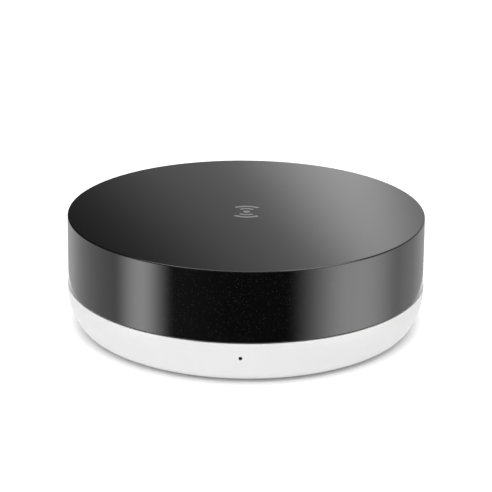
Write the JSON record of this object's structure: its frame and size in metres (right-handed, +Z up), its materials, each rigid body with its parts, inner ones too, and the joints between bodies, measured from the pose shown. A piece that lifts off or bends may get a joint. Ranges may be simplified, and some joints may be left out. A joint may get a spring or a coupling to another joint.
{
  "type": "zigbee repeater",
  "caption": "Round table-top wireless repeater: a black gloss drum cover on a white base that curves in underneath, with a pinhole reset switch and a rear power inlet.",
  "frame": {"origin": "centre of the circle that the feet stand on, on the table", "axes": "+Z up, -Y towards the front with the pinhole, +Y towards the back with the power inlet"},
  "size_m": [0.1108, 0.1108, 0.0354],
  "materials": {
    "black_cover": "gloss black moulded plastic",
    "white_base": "white moulded plastic, satin",
    "foot_rubber": "dark grey rubber",
    "screw_steel": "zinc-plated steel",
    "ballast_steel": "rolled steel sheet, plated",
    "film": "polyester film, amber",
    "board_green": "glass-fibre board with green solder mask",
    "board_blue": "glass-fibre board with blue solder mask",
    "can_metal": "tinned sheet metal",
    "chip_black": "black moulding compound",
    "gold_contact": "gold-plated brass",
    "lead_jacket": "smooth black lead jacket",
    "tape": "foam tape, off-white",
    "fuse_body": "moulded polymer, dark green",
    "ferrite": "pressed ferrite, dark grey",
    "can_aluminium": "drawn aluminium",
    "ceramic_tan": "fired ceramic, tan",
    "ceramic_black": "glazed black ceramic",
    "led_lens": "milky resin",
    "clear_guide": "clear acrylic",
    "spring_steel": "spring bronze sheet",
    "plunger_ivory": "ivory moulded plastic"
  },
  "bodies": {
    "case": {"top_cover": "black_cover", "base_shell": "white_base", "rubber_feet": "foot_rubber", "case_screws": "screw_steel", "ballast_plate": "ballast_steel", "ballast_screws": "screw_steel", "insulating_film": "film", "main_board": "board_green", "board_screws": "screw_steel", "radio_module_board": "board_blue", "radio_shield_can": "can_metal", "radio_chip": "chip_black", "reference_crystal": "can_metal", "antenna_socket": "gold_contact", "antenna_plug": "gold_contact", "antenna_lead": "lead_jacket", "antenna_board": "board_green", "antenna_tape": "tape", "power_socket_shell": "can_metal", "power_socket_tongue": "chip_black", "power_socket_contacts": "gold_contact", "input_fuse": "fuse_body", "surge_diode": "chip_black", "regulator_chip": "chip_black", "power_inductor": "ferrite", "capacitor_cans": "can_aluminium", "capacitor_bases": "chip_black", "ceramic_capacitors": "ceramic_tan", "chip_resistors": "ceramic_black", "status_led": "led_lens", "light_guide": "clear_guide", "reset_switch_body": "chip_black", "reset_switch_frame": "can_metal", "reset_dome": "spring_steel", "reset_terminals": "can_metal"},
    "plunger": {"reset_plunger": "plunger_ivory"}
  },
  "joints": [
    {"name": "reset_press", "type": "slide", "parent": "case", "child": "plunger", "axis": [0, 1, 0], "range_m": [0, 0.00025], "stiffness_N_per_m": 600, "springref_m": -0.0005}
  ]
}
